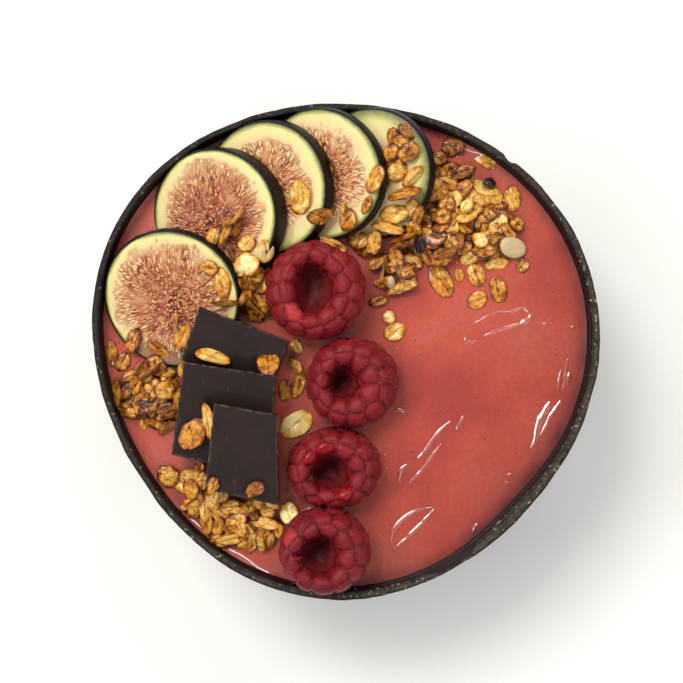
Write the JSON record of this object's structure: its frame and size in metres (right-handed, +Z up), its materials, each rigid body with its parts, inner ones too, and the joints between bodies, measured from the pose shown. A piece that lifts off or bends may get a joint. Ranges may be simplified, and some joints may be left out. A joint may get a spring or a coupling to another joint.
{
  "type": "smoothie bowl",
  "caption": "Coconut shell bowl of thick pink smoothie, topped with fig slices, raspberries, dark chocolate pieces and oat granola.",
  "frame": {"origin": "middle of the flat foot under the bowl", "axes": "+Z up, +Y to the side of the fig slices, +X to the open smoothie's side"},
  "size_m": [0.1299, 0.127, 0.0689],
  "materials": {
    "coconut_shell": "polished dark coconut shell",
    "smoothie": "thick wet puree",
    "fig": "cut flesh and pulp",
    "chocolate": "dull, faintly scratched",
    "raspberry": "velvety skin",
    "granola": "toasted, dry"
  },
  "bodies": {
    "root": {"bowl": "coconut_shell", "smoothie": "smoothie", "fig_slice_1": "fig", "fig_slice_2": "fig", "fig_slice_3": "fig", "fig_slice_4": "fig", "fig_slice_5": "fig", "chocolate_1": "chocolate", "chocolate_2": "chocolate", "chocolate_3": "chocolate", "raspberry_1": "raspberry", "raspberry_2": "raspberry", "raspberry_3": "raspberry", "raspberry_4": "raspberry", "granola_upper": "granola", "granola_middle": "granola", "granola_left": "granola", "granola_lower": "granola"}
  },
  "joints": []
}
